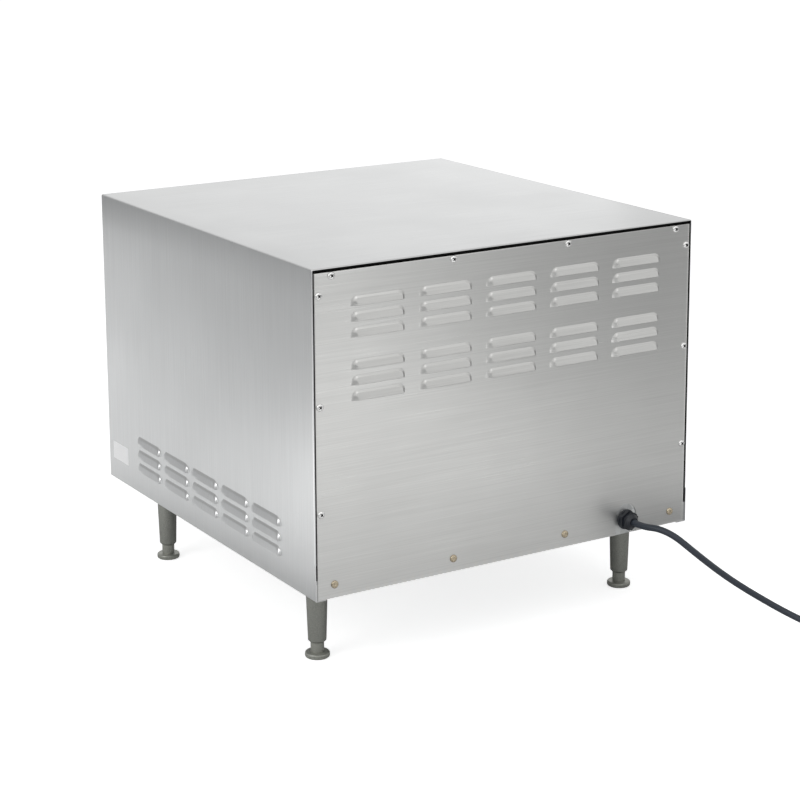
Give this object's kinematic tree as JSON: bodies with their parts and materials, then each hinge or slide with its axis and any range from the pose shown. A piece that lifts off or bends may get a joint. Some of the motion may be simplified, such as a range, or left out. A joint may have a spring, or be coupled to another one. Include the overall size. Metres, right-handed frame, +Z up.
{
  "type": "deck pizza oven",
  "caption": "Countertop deck oven: stone-floored baking chambers behind pull-down glass doors, in a louvred steel casing on adjustable legs, with a mains cord.",
  "frame": {"origin": "on the floor under the feet, at the middle of the overall width and of the depth from the door handles to the cord gland", "axes": "+Z up, doors and controls face -Y, back panel and cord face +Y, +X to the right of someone facing the doors"},
  "size_m": [0.9123, 1.1318, 0.601],
  "materials": {
    "casing_steel": "satin brushed stainless sheet",
    "panel_steel": "horizontally brushed stainless sheet",
    "front_steel": "brushed stainless sheet",
    "bright_screw": "bright stainless pan head",
    "brassy_screw": "yellow passivated pan head",
    "galvanised": "galvanised sheet",
    "chamber_steel": "aluminised sheet",
    "mineral_wool": "matt fibre blanket",
    "deck_stone": "pressed cordierite",
    "element": "oxidised metal sheath",
    "glass": "toughened glass",
    "handle": "black phenolic moulding",
    "spring": "spring steel",
    "hinge": "turned and folded steel",
    "knob": "black phenolic moulding",
    "rocker": "red polycarbonate",
    "switch_housing": "black nylon",
    "pilot_lens": "amber lens",
    "regulator": "zinc plated case",
    "terminal": "steatite",
    "bulb": "copper plated bulb",
    "leg_casting": "grey cast metal",
    "foot_casting": "grey cast metal, lighter rim",
    "nut": "zinc plated",
    "gland_nylon": "black nylon",
    "cord_rubber": "dark slate rubber sheath",
    "plug_pin": "turned brass"
  },
  "bodies": {
    "casing": {"casing_wrap": "casing_steel", "back_panel": "panel_steel", "front_frame": "front_steel", "control_panel": "front_steel", "back_panel_screws": "bright_screw", "base_screws": "brassy_screw", "base_tray": "galvanised", "compartment_shelf": "galvanised", "gland_plate": "galvanised", "lower_chamber_liner": "chamber_steel", "upper_chamber_liner": "chamber_steel", "lower_insulation": "mineral_wool", "upper_insulation": "mineral_wool", "lower_deck_stone": "deck_stone", "upper_deck_stone": "deck_stone", "lower_bottom_element": "element", "lower_top_element": "element", "upper_bottom_element": "element", "upper_top_element": "element", "door_springs": "spring", "hinge_brackets": "hinge", "hinge_pins": "hinge", "rocker_housings": "switch_housing", "pilot_lights": "pilot_lens", "thermostats": "regulator", "timers": "regulator", "terminal_block": "terminal", "thermostat_bulbs": "bulb", "front_left_leg": "leg_casting", "front_right_leg": "leg_casting", "rear_left_leg": "leg_casting", "rear_right_leg": "leg_casting", "leg_nuts": "nut", "gland_body": "gland_nylon", "gland_cap": "gland_nylon", "gland_locknut": "gland_nylon", "power_cord": "cord_rubber", "cord_coil": "cord_rubber", "plug_body": "cord_rubber", "plug_pins": "plug_pin"},
    "lower_door": {"lower_door_skin": "front_steel", "lower_door_liner": "front_steel", "lower_door_insulation": "mineral_wool", "lower_door_panes": "glass", "lower_door_handle": "handle"},
    "upper_door": {"upper_door_skin": "front_steel", "upper_door_liner": "front_steel", "upper_door_insulation": "mineral_wool", "upper_door_panes": "glass", "upper_door_handle": "handle"},
    "lower_timer_knob": {"lower_timer_knob": "knob"},
    "lower_thermostat_knob": {"lower_thermostat_knob": "knob"},
    "upper_timer_knob": {"upper_timer_knob": "knob"},
    "upper_thermostat_knob": {"upper_thermostat_knob": "knob"},
    "lower_rocker": {"lower_rocker": "rocker"},
    "upper_rocker": {"upper_rocker": "rocker"},
    "front_left_foot": {"front_left_foot": "foot_casting"},
    "front_right_foot": {"front_right_foot": "foot_casting"},
    "rear_left_foot": {"rear_left_foot": "foot_casting"},
    "rear_right_foot": {"rear_right_foot": "foot_casting"}
  },
  "joints": [
    {"name": "lower_door_hinge", "type": "hinge", "parent": "casing", "child": "lower_door", "pos_m": [0, -0.328, 0.248], "axis": [1, 0, 0], "range_deg": [0, 90], "stiffness_Nm_per_rad": 1.5, "springref_deg": -17.19},
    {"name": "upper_door_hinge", "type": "hinge", "parent": "casing", "child": "upper_door", "pos_m": [0, -0.328, 0.428], "axis": [1, 0, 0], "range_deg": [0, 90], "stiffness_Nm_per_rad": 1.5, "springref_deg": -17.19},
    {"name": "lower_timer_knob_turn", "type": "hinge", "parent": "casing", "child": "lower_timer_knob", "pos_m": [-0.06, -0.31, 0.181], "axis": [0, 1, 0], "range_deg": [0, 300]},
    {"name": "lower_thermostat_knob_turn", "type": "hinge", "parent": "casing", "child": "lower_thermostat_knob", "pos_m": [-0.16, -0.31, 0.181], "axis": [0, 1, 0], "range_deg": [0, 270]},
    {"name": "upper_timer_knob_turn", "type": "hinge", "parent": "casing", "child": "upper_timer_knob", "pos_m": [0.23, -0.31, 0.181], "axis": [0, 1, 0], "range_deg": [0, 300]},
    {"name": "upper_thermostat_knob_turn", "type": "hinge", "parent": "casing", "child": "upper_thermostat_knob", "pos_m": [0.13, -0.31, 0.181], "axis": [0, 1, 0], "range_deg": [0, 270]},
    {"name": "lower_rocker_tip", "type": "hinge", "parent": "casing", "child": "lower_rocker", "pos_m": [-0.24, -0.30925, 0.167], "axis": [-1, 0, 0], "range_deg": [0, 18]},
    {"name": "upper_rocker_tip", "type": "hinge", "parent": "casing", "child": "upper_rocker", "pos_m": [0.04, -0.30925, 0.167], "axis": [-1, 0, 0], "range_deg": [0, 18]},
    {"name": "front_left_foot_screw", "type": "slide", "parent": "casing", "child": "front_left_foot", "axis": [0, 0, -1], "range_m": [-0.012, 0.02]},
    {"name": "front_right_foot_screw", "type": "slide", "parent": "casing", "child": "front_right_foot", "axis": [0, 0, -1], "range_m": [-0.012, 0.02]},
    {"name": "rear_left_foot_screw", "type": "slide", "parent": "casing", "child": "rear_left_foot", "axis": [0, 0, -1], "range_m": [-0.012, 0.02]},
    {"name": "rear_right_foot_screw", "type": "slide", "parent": "casing", "child": "rear_right_foot", "axis": [0, 0, -1], "range_m": [-0.012, 0.02]}
  ]
}
